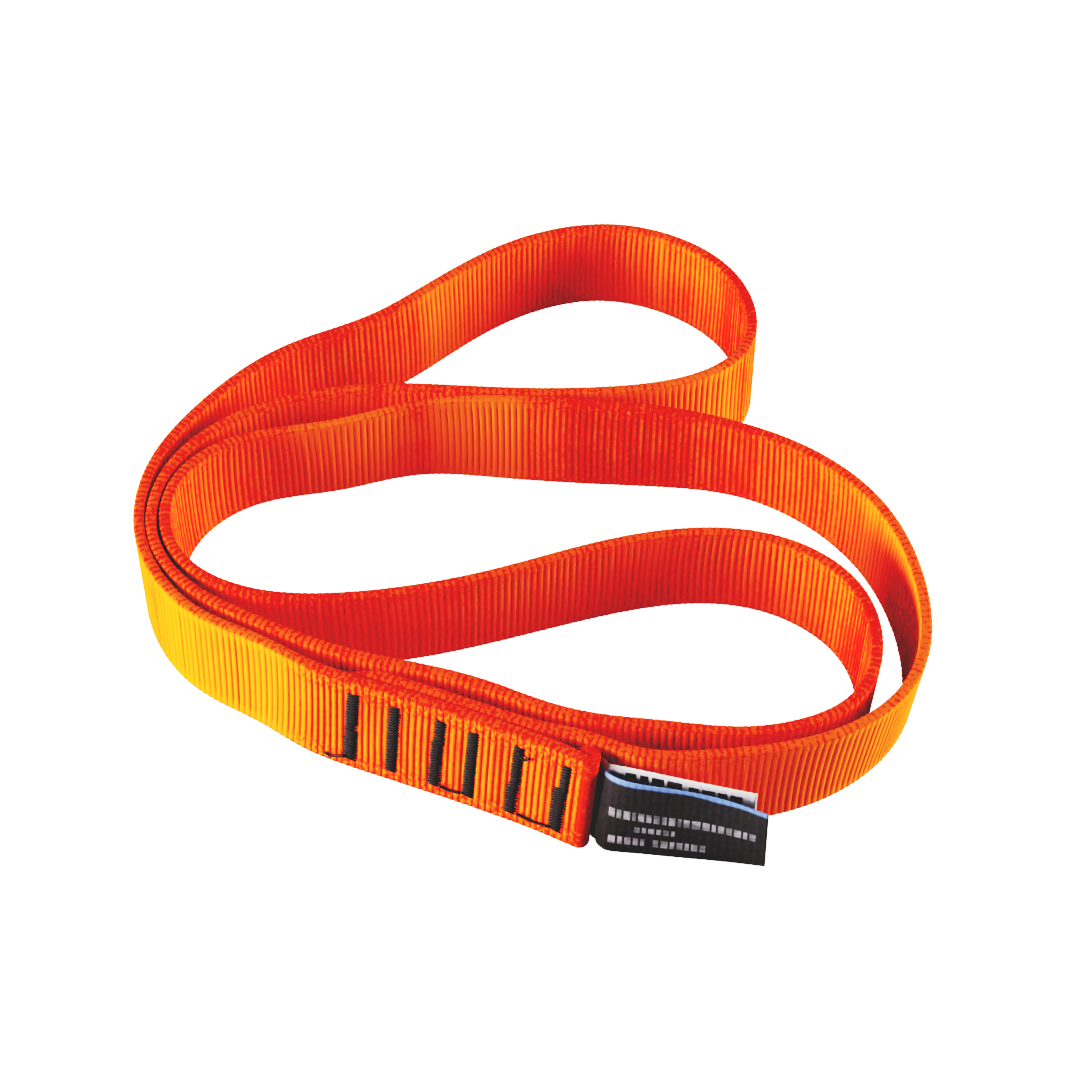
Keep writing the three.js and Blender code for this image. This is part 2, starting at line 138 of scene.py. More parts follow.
CORE_LEFT_BEND = [
    (-0.0510, -0.0390, -0.0018), (-0.0610, -0.0383, -0.0008), (-0.0700, -0.0350, -0.0004),
    (-0.0771, -0.0298, 0.0000), (-0.0816, -0.0222, -0.0004), (-0.0832, -0.0135, -0.0004),
    (-0.0821, -0.0050, 0.0000), (-0.0783, 0.0025, 0.0008), (-0.0720, 0.0085, 0.0020),
    (-0.0640, 0.0122, 0.0030),
]
NEAR_LOBE = [
    (-0.0550, 0.0139, 0.0032), (-0.0460, 0.0156, 0.0030), (-0.0375, 0.0187, 0.0030),
    (-0.0285, 0.0215, 0.0021), (-0.0190, 0.0221, 0.0005), (-0.0070, 0.0213, -0.0012),
    (0.0080, 0.0202, -0.0019), (0.0230, 0.0188, -0.0007), (0.0355, 0.0171, 0.0010),
    (0.0470, 0.0140, 0.0026), (0.0575, 0.0086, 0.0022), (0.0669, 0.0007, 0.0012),
    (0.0744, -0.0092, 0.0002), (0.0791, -0.0207, -0.0004), (0.0814, -0.0325, -0.0006),
    (0.0818, -0.0443, -0.0012), (0.0795, -0.0558, -0.0024), (0.0736, -0.0656, -0.0034),
    (0.0648, -0.0730, -0.0031), (0.0548, -0.0776, -0.0023), (0.0450, -0.0799, -0.0016),
    (0.0360, -0.0813, -0.0009), (0.0275, -0.0823, -0.0002), (0.0200, -0.0824, 0.0017),
    (0.0134, -0.0806, 0.0038),
]
SPLICE_INNER = [
    (0.0070, -0.0777, 0.0042), (0.0005, -0.0767, 0.0042), (-0.0080, -0.0734, 0.0042),
    (-0.0200, -0.0683, 0.0042), (-0.0310, -0.0639, 0.0041), (-0.0420, -0.0596, 0.0037),
]

# The label's leaves, from the fold to their free ends; a minus lean stands away from the viewer.
FRONT_LEAF = [
    (0.0120, -0.0851, -0.0050), (0.0150, -0.0868, -0.0032), (0.0195, -0.0879, -0.0015),
    (0.0280, -0.0891, -0.0013), (0.0370, -0.0908, 0.0003), (0.0458, -0.0936, 0.0033),
]
BACK_LEAF = [
    (0.0120, -0.0841, -0.0050), (0.0160, -0.0843, -0.0032), (0.0220, -0.0852, -0.0010),
    (0.0320, -0.0875, 0.0000), (0.0435, -0.0900, 0.0008),
]
ROUTE = (
    SPLICE_OUTER + OUTER_LEFT_BEND + FAR_LOBE + MIDDLE_LEFT_BEND + INNER_LOBE
    + CORE_LEFT_BEND + NEAR_LOBE + SPLICE_INNER
)

# Painted light and shade along the tape: 0 is the usual yarn mix, 1 is painted golden where light falls and
# -1 nearly all deep red where shade falls.
PAINTED_LIGHT_SHADE = (
    (-1, -0.9), (0, -0.9), (0.3, 0.0), (5, -0.1), (8, 0.5), (11, 0.5), (13, 0.0), (20, -0.4), (22, -0.8),
    (24, 0.3), (28, -0.2), (30, 0.2), (33, -1.3), (36, 0.5), (42, -0.3), (60, 0.0), (69, -0.4), (72, -1.2),
    (74, 0.1), (80, 0.1), (83, -1.1), (86, -0.4), (88, -0.6), (90, 0.0), (92, -0.2), (94, 1.0), (96, 0.0),
    (97.5, 1.2), (99, -1.0), (101, -0.9), (105, 0.2), (111, 0.5), (113, 0.2), (125, 0.0),
)

# How far the mottled edges spread onto the faces, as (station, level).
MOTTLE = ((0, 1.0), (7, 1.0), (10, 0.3), (15, 0.0), (112, 0.0), (117, 0.6))

random = np.random.default_rng(7)


# ---- curves ----

class StationCurve:
    """A uniform cubic B-spline over (x, y, lean) points; a station is an index into the list."""

    def __init__(self, points):
        p = np.array(points)
        self.end = len(p) - 1
        self.points = np.vstack([2 * p[0] - p[1], p, 2 * p[-1] - p[-2]])

    def at(self, station):
        """Position, unit direction of travel and lean at stations of any array shape."""
        index = np.clip(np.floor(station), 0, self.end - 1).astype(int)
        u = station - index
        place = ((1 - u) ** 3, 3 * u**3 - 6 * u**2 + 4, -3 * u**3 + 3 * u**2 + 3 * u + 1, u**3)
        slope = (-((1 - u) ** 2), 3 * u**2 - 4 * u, -3 * u**2 + 2 * u + 1, u**2)
        near = [self.points[index + k] for k in range(4)]
        value = sum(w[..., None] / 6 * p for w, p in zip(place, near))
        along = sum(w[..., None] / 2 * p[..., :2] for w, p in zip(slope, near))
        along = along / np.linalg.norm(along, axis=-1, keepdims=True)
        return value[..., :2] - np.array(FOOTPRINT_CENTRE), along, value[..., 2]


def right_of(along):
    return np.stack([along[..., 1], -along[..., 0]], axis=-1)


def lift(centre, right, tilt, offset, height):
    """Joins a plan position and a height on a leaning strip into points in space."""
    share = height / TAPE_WIDTH - 0.5
    rise = np.sqrt(1 - (tilt**2).sum(axis=-1) / TAPE_WIDTH**2)
    plan = centre + right * offset[..., None] + tilt * share[..., None]
    return np.concatenate([plan, (height * rise)[..., None]], axis=-1)


class Strip:
    """A curve with its arc length, and the map from the flat strip to space."""

    SAMPLES_PER_STATION = 40

    def __init__(self, points):
        self.curve = StationCurve(points)
        self.stations = np.linspace(0, self.curve.end, self.curve.end * self.SAMPLES_PER_STATION + 1)
        centre = self.curve.at(self.stations)[0]
        steps = np.linalg.norm(np.diff(centre, axis=0), axis=1)
        self.lengths = np.concatenate([[0], np.cumsum(steps)])
        self.length = float(self.lengths[-1])

    def length_at(self, station):
        return float(np.interp(station, self.stations, self.lengths))

    def frames(self, distance):
        """Centre, direction, right-hand normal and lean at distances along the strip."""
        station = np.interp(distance, self.lengths, self.stations)
        centre, along, lean = self.curve.at(station)
        right = right_of(along)
        return centre, along, right, right * lean[..., None]

    def place(self, distance, offset, height):
        """Points at an offset to the right of the strip's middle plane and a height above its edge."""
        distance, offset, height = np.broadcast_arrays(distance, offset, height)
        centre, _, right, tilt = self.frames(distance)
        return lift(centre, right, tilt, offset, height)


class Tape(Strip):
    """The whole band: the route, and before its start the half turn and tuck of the outer ply's hem."""

    TURN = math.pi * HEM_RADIUS

    def frames(self, distance):
        centre, along, right, tilt = super().frames(np.maximum(distance, 0))
        before = np.clip(-np.asarray(distance), 0, None)
        angle = np.minimum(before, self.TURN) / HEM_RADIUS
        tucked = np.clip(before - self.TURN, 0, None)
        away = (HEM_RADIUS * (1 - np.cos(angle)))[..., None]
        back = (tucked - HEM_RADIUS * np.sin(angle))[..., None]
        turned = along * np.cos(angle)[..., None] - right * np.sin(angle)[..., None]
        return centre + right * away + along * back, turned, right_of(turned), tilt

    def thickness(self, distance):
        """Share of the full thickness: thin in the tuck, the fold and the cut end, full between them."""
        places = (-self.TURN, 0, HEM_FADE, self.length - CUT_FADE, self.length)
        return np.interp(distance, places, (TUCK_SHARE, FOLD_SHARE, 1, 1, CUT_SHARE))


tape = Tape(ROUTE)
RIB_COUNT = round(tape.length / RIB_PITCH)
RIB_LENGTH = tape.length / RIB_COUNT
HEM_RIBS = round((Tape.TURN + TUCK_LENGTH) / RIB_LENGTH)


def behind(distance):
    """The inner ply's own distance behind a place on the outer ply, and how far back it lies."""
    centre, along, right, _ = tape.frames(np.array(distance))
    inner = np.linspace(tape.length_at(SPLICE_INNER_START - 1), tape.length, 600)
    reach = tape.frames(inner)[0] - centre
    nearest = np.abs(reach @ along).argmin()
    return float(inner[nearest]), float(reach[nearest] @ right)


BAR_PLACES = [tape.length_at(station) for station in BAR_STATIONS]
INNER_BAR_PLACES = [behind(place)[0] for place in BAR_PLACES]


# ---- mesh helpers ----

def make_mesh(name, points, faces, materials, attributes=None, face_materials=None):
    mesh = bpy.data.meshes.new(name)
    mesh.from_pydata(np.asarray(points).tolist(), [], faces)
    for label, values in (attributes or {}).items():
        layer = mesh.attributes.new(label, "FLOAT", "POINT")
        layer.data.foreach_set("value", np.asarray(values, dtype=np.float32).ravel())
    for material in materials:
        mesh.materials.append(material)
    mesh.polygons.foreach_set("use_smooth", [True] * len(mesh.polygons))
    if face_materials is not None:
        mesh.polygons.foreach_set("material_index", face_materials)
    mesh.update()
    piece = bpy.data.objects.new(name, mesh)
    bpy.context.collection.objects.link(piece)
    return piece


def tube_faces(rings, around, start=0):
    """Quads of a closed tube whose rings run up its right side and down its left, and its end caps."""
    ring = np.arange(rings - 1)[:, None] * around + start
    side = np.arange(around)[None, :]
    following = (side + 1) % around
    corners = (ring + side, ring + around + side, ring + around + following, ring + following)
    last = start + (rings - 1) * around
    caps = [list(range(start, start + around)), list(range(last + around - 1, last - 1, -1))]
    return np.stack(corners, -1).reshape(-1, 4).tolist() + caps


def smooth_step(x, low, high):
    t = np.clip((x - low) / (high - low), 0, 1)
    return t * t * (3 - 2 * t)


# ---- the tape's surface ----

def tape_section():
    """The section's outline as (side, height), up the right face and down the left one.

    side is 1 on the right face and -1 on the left one, and runs between them round the edges."""
    angles = np.radians([24, 48, 70])
    corner = [(math.sin(a), EDGE_ROUND * (1 - math.cos(a))) for a in angles]
    band = np.linspace(EDGE_ROUND, SELVEDGE, 4).tolist()
    middle = np.linspace(SELVEDGE + 0.0006, TAPE_WIDTH - SELVEDGE - 0.0006, 8).tolist()
    heights = band + middle + [TAPE_WIDTH - h for h in band[::-1]]
    rising = [(0, 0)] + corner + [(1, h) for h in heights]
    rising += [(side, TAPE_WIDTH - h) for side, h in corner[::-1]]
    falling = [(-side, TAPE_WIDTH - h) for side, h in rising]
    return np.array(rising + falling)


SECTION = tape_section()
RIB_SAMPLES = np.array([0, 0.09, 0.24, 0.5, 0.76, 0.91])
RIB_SIZES = random.uniform(0.8, 1.12, RIB_COUNT + 2 * HEM_RIBS)
RIB_SHIFTS = random.uniform(-0.08, 0.08, RIB_COUNT + 2 * HEM_RIBS)


def rib_profile(phase):
    """From 0 in the groove between two ribs to 1 on a rib's crown."""
    return np.abs(np.sin(math.pi * phase)) ** 0.62


def bow(distance, height):
    """How far a rib strays along the tape from a straight line across it."""
    slow = np.sin(distance * 61) + 0.6 * np.sin(distance * 143 + 1.3)
    return RIB_BOW * slow * np.cos(math.pi * (height / TAPE_WIDTH - 0.5))


def along_tape(distance, choices):
    """A level at distances along the tape, from a list of (station, level)."""
    stations, levels = np.array(choices).T
    places = np.where(stations < 0, stations * tape.TURN, np.interp(stations, tape.stations, tape.lengths))
    return np.interp(distance, places, levels)


def stitched(distance, height, places):
    """From 0 to 1 where the bar tacks pull the plies together."""
    pull = sum(np.exp(-(((distance - place) / BAR_REACH) ** 2)) for place in places)
    above = smooth_step(height, BAR_LOW - 0.002, BAR_LOW + 0.001)
    return pull * above * (1 - smooth_step(height, BAR_HIGH - 0.001, BAR_HIGH + 0.002))


def tape_piece(name, first_rib, last_rib, bar_places, nodes):
    """A closed length of tape from one groove to another, with ribs counted from the route's start."""
    ribs = np.arange(first_rib, last_rib)
    phases = np.append((ribs[:, None] + RIB_SAMPLES).ravel(), last_rib)
    rib = np.minimum(np.floor(phases).astype(int), last_rib - 1)
    within = phases - rib
    crown = (rib_profile(within) * RIB_SIZES[rib + HEM_RIBS])[:, None]
    shift = RIB_SHIFTS[rib + HEM_RIBS] * np.sin(math.pi * within)
    middle = ((phases + shift) * RIB_LENGTH)[:, None]
    side, height = SECTION[None, :, 0], SECTION[None, :, 1]
    distance = middle + bow(middle, height)
    inset = np.minimum(height, TAPE_WIDTH - height)
    depth = RIB_DEPTH * (0.5 + 0.5 * smooth_step(inset, SELVEDGE - 0.0012, SELVEDGE + 0.0006))
    depth = depth * (0.3 + 0.7 * smooth_step(distance, 0, 0.002))
    sink = depth * (1 - crown)
    press = BAR_PRESS * stitched(distance, height, bar_places)
    share = tape.thickness(distance)
    thick = HALF * share - sink - press
    cut = smooth_step(distance, tape.length - CUT_FADE, tape.length)
    toward_front = -HALF * (1 - share) * (distance > tape.length / 2)
    edge = 0.5 * sink * (1 - np.abs(side)) * np.sign(TAPE_WIDTH / 2 - height)
    points = tape.place(distance, side * thick + toward_front, (height + edge) * (1 - 0.06 * cut))
    outline = SECTION * (HALF, 1)
    around = np.cumsum(np.linalg.norm(np.diff(outline, axis=0, prepend=outline[-1:]), axis=1))
    attributes = {
        "rib": np.repeat(phases, len(SECTION)),
        "across": np.tile(SECTION[:, 1], len(phases)),
        "around": np.tile(around, len(phases)),
        # Painted light and shade along the tape, from the station list above.
        "painted_light_shade": np.repeat(along_tape(middle[:, 0], PAINTED_LIGHT_SHADE), len(SECTION)),
        "mottle": np.repeat(along_tape(middle[:, 0], MOTTLE), len(SECTION)),
    }
    faces = tube_faces(len(phases), len(SECTION))
    piece = make_mesh(name, points.reshape(-1, 3), faces, [TAPE_MATERIAL], attributes)
    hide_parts(*nodes)
    return piece


def rib_at(station):
    return round(tape.length_at(station) / RIB_LENGTH)


# ---- threads ----

def thread_tube(points, outward, radius=THREAD_RADIUS, sides=6):
    """Points and faces of a round thread along a line; outward is a direction that it never follows."""
    points = np.asarray(points)
    tangent = np.gradient(points, axis=0)
    tangent /= np.linalg.norm(tangent, axis=1, keepdims=True)
    across = np.cross(tangent, outward)
    across /= np.linalg.norm(across, axis=1, keepdims=True)
    normal = np.cross(across, tangent)
    angle = np.linspace(0, 2 * math.pi, sides, endpoint=False)
    ring = normal[:, None] * np.sin(angle)[None, :, None] - across[:, None] * np.cos(angle)[None, :, None]
    return (points[:, None] + radius * ring).reshape(-1, 3), tube_faces(len(points), sides)


def join_parts(parts):
    """One list of points and faces from several."""
    points, faces, start = [], [], 0
    for part_points, part_faces in parts:
        points.append(part_points)
        faces += [[index + start for index in face] for face in part_faces]
        start += len(part_points)
    return np.vstack(points), faces


# Most bars are one run of stitches. Some were sewn in runs of different widths that don't quite line
# up: (lowest, highest, shift along the tape, width).
BAR_RUN = [(BAR_LOW, BAR_HIGH, 0.0, BAR_WIDTH)]
BAR_RUNS = {
    1: [(0.0142, BAR_HIGH, -0.0004, 0.0021), (0.0027, 0.0148, 0.0003, 0.0034)],
    2: [(0.0027, 0.0104, 0.0002, 0.0029), (0.0098, BAR_HIGH, -0.0001, 0.0025)],
    4: [(BAR_LOW, 0.0154, 0.0001, 0.0029), (0.0149, BAR_HIGH, -0.0003, 0.0025)],
    6: [(0.0026, 0.0108, 0.0001, 0.0032), (0.0103, 0.0136, 0.0004, 0.0025),
        (0.0131, BAR_HIGH, 0.0001, 0.0032)],
}


def zigzag(place, offset, outward_sign, low, high, shift, width):
    """Satin stitches across a bar: each one dives into the tape at both ends."""
    count = round((high - low) / STITCH_PITCH)
    t = np.array([0, 0.1, 0.3, 0.5, 0.7, 0.9])
    step = (np.arange(count)[:, None] + t[None, :]).ravel()
    across = np.tile(t, count) - 0.5
    turn = np.repeat(np.where(np.arange(count) % 2 == 0, 1, -1), len(t))
    ragged = np.repeat(random.uniform(-0.00016, 0.00016, count), len(t))
    height = low + step * STITCH_PITCH
    lean = BAR_LEAN * (height - BAR_LOW) / (BAR_HIGH - BAR_LOW)
    along = place + shift + ragged - lean + turn * across * width
    proud = 0.00014 - 0.0005 * np.abs(2 * across) ** 8
    line = tape.place(along, offset + outward_sign * proud, height)
    outward = tape.frames(np.array(place))[2] * outward_sign
    return thread_tube(line, (outward[0], outward[1], 0))


def bar_tack(index, place):
    """A bar tack: satin stitches on the splice's front, and the same on its back."""
    back = behind(place)[1] + HALF - BAR_PRESS
    front = -HALF + BAR_PRESS
    parts = []
    for low, high, shift, width in BAR_RUNS.get(index, BAR_RUN):
        parts.append(zigzag(place, front, -1, low, high, shift, width))
        parts.append(zigzag(place, back, 1, low, high, shift, width))
    piece = make_mesh(f"bar_tack_stitches_{index}", *join_parts(parts), [THREAD_MATERIAL])
    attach(piece, "root")
    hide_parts(f"bar_tack_{index}")


def face_thread(name, node, start, end, heights, lifts):
    """A loose thread on the splice's front face."""
    count = 14
    t = np.linspace(0, 1, count)
    knots = np.linspace(0, 1, len(heights))
    height = np.interp(t, knots, heights)
    offset = -HALF - LOOSE_RADIUS - np.interp(t, knots, lifts)
    line = tape.place(start + (end - start) * t, offset, height)
    outward = -tape.frames(np.array(start))[2]
    tube = thread_tube(line, (outward[0], outward[1], 0.1), LOOSE_RADIUS, sides=8)
    piece = make_mesh(name, *tube, [THREAD_MATERIAL])
    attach(piece, "root")
    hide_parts(node)


# ---- the label ----

def leaf_points(strip, distances, heights, thickness, lows):
    """Rings of a thin leaf: up its right side and down its left, with rounded edges."""
    share = (heights - heights[0]) / (heights[-1] - heights[0])
    rising = np.concatenate([share, share[::-1]])
    side = np.concatenate([np.ones_like(share), -np.ones_like(share)])
    side[[0, len(share) - 1, len(share), -1]] *= 0.5
    height = lows[:, None] + rising[None, :] * (heights[-1] - lows[:, None])
    ripple = 0.00003 * np.sin(distances * 3900)[:, None]
    offset = side[None, :] * thickness / 2 + ripple
    points = strip.place(distances[:, None], offset, height)
    return points.reshape(-1, 3), height, len(rising)


def leaf_piece(name, strip, lift_height, corner, materials, marks, hinge_end, nodes):
    """One leaf of the label with its printed marks, bending where it leaves the splice."""
    distances = np.linspace(0, strip.length, 90)
    heights = np.linspace(lift_height, lift_height + LABEL_HEIGHT, 26)
    reach = np.clip((corner - (distances - LEAF_START)) / max(corner, 1e-6), 0, 1)
    lows = heights[0] + corner * (1 - np.sqrt(1 - reach**2))
    points, height, around = leaf_points(strip, distances, heights, LABEL_THICKNESS, lows)
    faces = tube_faces(len(distances), around)
    parts = [(points, faces)] + [mark_patch(strip, *mark) for mark in marks]
    all_points, all_faces = join_parts(parts)
    flat_height = np.full(len(all_points), LABEL_HEIGHT / 2)
    flat_height[: len(points)] = (height - heights[0]).ravel()
    run = np.zeros(len(all_points))
    run[: len(points)] = np.repeat(distances, around)
    indices = [0] * len(faces) + [1] * (len(all_faces) - len(faces))
    attributes = {"across": flat_height, "run": run}
    piece = make_mesh(name, all_points, all_faces, materials, attributes, indices)
    piece.data.polygons.foreach_set("use_smooth", [index == 0 for index in indices])
    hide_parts(*nodes)
    start, end = strip.place(np.array([LEAF_START, hinge_end]), 0.0, TAPE_WIDTH / 2)
    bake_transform(piece)
    return piece


def mark_patch(strip, start, end, low, high, slope=0.0):
    """A thin printed bar on the side of a leaf that faces the viewer."""
    columns = max(2, round((end - start) / 0.0008))
    distances = np.linspace(start, end, columns + 1)
    middle = slope * (distances - start)
    foot = strip.place(distances, LABEL_THICKNESS / 2 + MARK_PROUD, low + middle)
    head = strip.place(distances, LABEL_THICKNESS / 2 + MARK_PROUD, high + middle)
    rear_foot = strip.place(distances, LABEL_THICKNESS / 2 - MARK_PROUD, low + middle)
    rear_head = strip.place(distances, LABEL_THICKNESS / 2 - MARK_PROUD, high + middle)
    rings = np.stack([foot, head, rear_head, rear_foot], axis=1)
    return rings.reshape(-1, 3), tube_faces(len(distances), 4)


def mark_row(start, low, high, widths, gap, slope=0.0):
    """Bars of the given widths side by side: generic marks that stand in for printing."""
    marks, place = [], start
    for width in widths:
        rise = slope * (place - start)
        marks.append((place, place + width, low + rise, high + rise, slope))
        place += width + gap
    return marks


# ---- materials ----

class Shader:
    """A material's node tree, built by short calls that return sockets."""

    def __init__(self, name, roughness, specular=0.5, sheen=0.0, sheen_tint=(1, 1, 1), sheen_roughness=0.4):
        self.material = bpy.data.materials.new(name)
        self.material.use_nodes = True
        self.tree = self.material.node_tree
        self.bsdf = self.tree.nodes["Principled BSDF"]
        self.bsdf.inputs["Roughness"].default_value = roughness
        self.bsdf.inputs["Specular IOR Level"].default_value = specular
        self.bsdf.inputs["Sheen Weight"].default_value = sheen
        self.bsdf.inputs["Sheen Tint"].default_value = (*sheen_tint, 1)
        self.bsdf.inputs["Sheen Roughness"].default_value = sheen_roughness

    def node(self, kind, inputs=(), **settings):
        node = self.tree.nodes.new(kind)
        for key, value in settings.items():
            setattr(node, key, value)
        for key, value in dict(inputs).items():
            self.feed(node.inputs[key], value)
        return node

    def feed(self, socket, value):
        if isinstance(value, bpy.types.NodeSocket):
            self.tree.links.new(value, socket)
        else:
            socket.default_value = value

    def attribute(self, name):
        return self.node("ShaderNodeAttribute", attribute_name=name).outputs["Fac"]

    def math(self, operation, *values, clamp=False):
        node = self.node("ShaderNodeMath", enumerate(values), operation=operation, use_clamp=clamp)
        return node.outputs[0]

    def between(self, value, low, high):
        """From 0 at low to 1 at high, with soft ends."""
        inputs = {"Value": value, "From Min": low, "From Max": high}
        node = self.node("ShaderNodeMapRange", inputs, interpolation_type="SMOOTHSTEP")
        return node.outputs[0]

    def wave(self, value, period):
        return self.math("SINE", self.math("MULTIPLY", value, 2 * math.pi / period))

    def noise(self, scale, detail=2.0, vector=None):
        inputs = {"Scale": scale, "Detail": detail}
        if vector is not None:
            inputs["Vector"] = vector
        else:
            inputs["Vector"] = self.node("ShaderNodeTexCoord").outputs["Object"]
        return self.node("ShaderNodeTexNoise", inputs).outputs["Fac"]

    def vector(self, x, y):
        return self.node("ShaderNodeCombineXYZ", {"X": x, "Y": y}).outputs[0]

    def one_per(self, value):
        """A different number from 0 to 1 for each whole step of a value."""
        whole = self.math("FLOOR", value)
        return self.node("ShaderNodeTexWhiteNoise", {"W": whole}, noise_dimensions="1D").outputs[0]

    def mix(self, factor, first, second):
        node = self.node("ShaderNodeMix", data_type="RGBA")
        self.feed(node.inputs["Factor"], factor)
        self.feed(node.inputs["A"], first)
        self.feed(node.inputs["B"], second)
        return node.outputs["Result"]

    def blend_value(self, factor, first, second):
        node = self.node("ShaderNodeMix", data_type="FLOAT")
        self.feed(node.inputs[0], factor)
        self.feed(node.inputs[2], first)
        self.feed(node.inputs[3], second)
        return node.outputs[0]

    def finish(self, colour, height=None, bump_distance=0.0001, bump_strength=1.0, roughness=None):
        self.feed(self.bsdf.inputs["Base Color"], colour)
        if roughness is not None:
            self.feed(self.bsdf.inputs["Roughness"], roughness)
        if height is not None:
            inputs = {"Height": height, "Distance": bump_distance, "Strength": bump_strength}
            bump = self.node("ShaderNodeBump", inputs)
            self.feed(self.bsdf.inputs["Normal"], bump.outputs["Normal"])
        return self.material


def rgba(red, green, blue):
    return (red, green, blue, 1.0)


def webbing_material():
    """Ribbed webbing: orange yarn on the ribs, red yarn in the grooves, both mixed along the edges; painted
    light and shade along its length.
    """
    s = Shader("orange_red_webbing", 0.8, specular=0.03, sheen=0.08, sheen_tint=(1.0, 0.35, 0.03))
    rib, across, around = s.attribute("rib"), s.attribute("across"), s.attribute("around")
    # The first attribute holds the painted light and shade along the tape.
    light_and_shade, mottle = s.attribute("painted_light_shade"), s.attribute("mottle")
    phase = s.math("FRACT", rib)
    groove = s.math("ABSOLUTE", s.math("MULTIPLY_ADD", phase, 2.0, -1.0))
    fine = s.noise(1500, 3.0)
    patches = s.noise(1.0, 2.0, s.vector(s.math("MULTIPLY", rib, 0.22), s.math("MULTIPLY", across, 80)))
    yarn = s.wave(around, YARN_PITCH)
    crown = s.math("SUBTRACT", 1.0, s.math("POWER", groove, 1.3))
    crown = s.math("MULTIPLY_ADD", s.math("SUBTRACT", fine, 0.5), 0.6, crown)
    crown = s.math("MULTIPLY_ADD", yarn, 0.07, crown)
    crown = s.math("MULTIPLY_ADD", s.math("SUBTRACT", patches, 0.5), 1.1, crown)
    crown = s.math("MULTIPLY_ADD", s.math("SUBTRACT", s.one_per(rib), 0.5), 0.4, crown)
    broken = s.noise(1.0, 1.0, s.vector(s.math("MULTIPLY", rib, 1.3), s.math("MULTIPLY", across, 620)))
    crown = s.math("MULTIPLY_ADD", s.math("SUBTRACT", broken, 0.5), 0.7, crown)
    # Painted light and shade: more orange on the ribs where light is painted, more red where shade is
    # painted.
    crown = s.math("MULTIPLY_ADD", light_and_shade, 0.42, crown)
    face = s.between(crown, 0.16, 0.86)
    # The edges: short dashes of both yarns, in line with the ribs, with more red than on the face.
    dashes = s.noise(1.0, 1.0, s.vector(s.math("MULTIPLY", rib, 2.1), s.math("MULTIPLY", around, 950)))
    dashes = s.math("MULTIPLY_ADD", face, s.math("MULTIPLY_ADD", mottle, -0.12, 0.25), dashes)
    # The painted light and shade reach the edges' dashes too.
    dashes = s.math("MULTIPLY_ADD", light_and_shade, 0.05, dashes)
    off_middle = s.math("ABSOLUTE", s.math("SUBTRACT", across, TAPE_WIDTH / 2))
    inset = s.math("SUBTRACT", TAPE_WIDTH / 2, off_middle)
    rim = s.between(inset, 0.0012, 0.0002)
    dashes = s.math("MULTIPLY_ADD", mottle, 0.02, dashes)
    mottled = s.math("MULTIPLY", s.between(dashes, 0.50, 0.71), s.math("MULTIPLY_ADD", rim, -0.45, 0.95))
    inset = s.math("MULTIPLY_ADD", s.math("SUBTRACT", patches, 0.5), 0.0030, inset)
    inset = s.math("MULTIPLY_ADD", mottle, -0.0016, inset)
    edge = s.between(inset, SELVEDGE + 0.0010, SELVEDGE - 0.0008)
    factor = s.blend_value(edge, face, mottled)
    # Painted light and shade: golden crowns and grooves where light falls strongly, a dark crimson where
    # shade falls.
    gold = s.between(light_and_shade, 0.0, 0.5)
    deep = s.between(light_and_shade, -0.4, -1.4)
    orange = s.mix(gold, rgba(0.90, 0.168, 0.008), rgba(0.95, 0.200, 0.005))
    red = s.mix(fine, rgba(0.74, 0.052, 0.022), rgba(0.88, 0.085, 0.024))
    red = s.mix(gold, red, rgba(0.95, 0.198, 0.006))
    red = s.mix(deep, red, rgba(0.55, 0.030, 0.022))
    red = s.mix(s.math("MULTIPLY", rim, 0.8), red, rgba(0.50, 0.026, 0.014))
    colour = s.mix(factor, red, orange)
    height = s.math("MULTIPLY_ADD", yarn, 0.35, fine)
    roughness = s.math("MULTIPLY_ADD", fine, 0.2, 0.68)
    return s.finish(colour, height, 0.00007, 0.8, roughness)


def thread_material():
    """Black sewing thread with a faint twist."""
    s = Shader("black_thread", 0.6, specular=0.3)
    fine = s.noise(2600, 2.0)
    colour = s.mix(fine, rgba(0.018, 0.014, 0.014), rgba(0.055, 0.046, 0.046))
    return s.finish(colour, fine, 0.00006, 0.7)


def label_material(name, dark, light, band=None):
    """Woven label tape: fine rows across it, and a paler band along its upper edge."""
    s = Shader(name, 0.55, specular=0.3)
    across, run = s.attribute("across"), s.attribute("run")
    weave = s.math("MULTIPLY", s.wave(across, LABEL_WEAVE), s.wave(run, LABEL_WEAVE))
    fine = s.noise(900, 3.0)
    tone = s.math("MULTIPLY_ADD", weave, 0.18, fine, clamp=True)
    colour = s.mix(tone, dark, light)
    if band is not None:
        wobble = s.math("MULTIPLY_ADD", s.noise(140, 1.0), 0.0012, across)
        top = s.between(wobble, LABEL_HEIGHT - 0.0009, LABEL_HEIGHT - 0.0002)
        colour = s.mix(top, colour, band)
    return s.finish(colour, weave, 0.00003, 0.6)


def print_material(name, dark, light):
    """Slightly worn printing."""
    s = Shader(name, 0.55)
    worn = s.noise(450, 2.0)
    return s.finish(s.mix(s.between(worn, 0.25, 0.75), dark, light), worn, 0.00002, 0.4)


TAPE_MATERIAL = webbing_material()
THREAD_MATERIAL = thread_material()
LABEL_FRONT = label_material(
    "black_label", rgba(0.030, 0.025, 0.026), rgba(0.065, 0.055, 0.057), rgba(0.16, 0.22, 0.40)
)
LABEL_BACK = label_material("white_label", rgba(0.55, 0.50, 0.51), rgba(0.78, 0.74, 0.75))
PALE_PRINT = print_material("pale_print", rgba(0.12, 0.11, 0.12), rgba(0.31, 0.29, 0.31))
DARK_PRINT = print_material("dark_print", rgba(0.13, 0.11, 0.11), rgba(0.05, 0.042, 0.042))
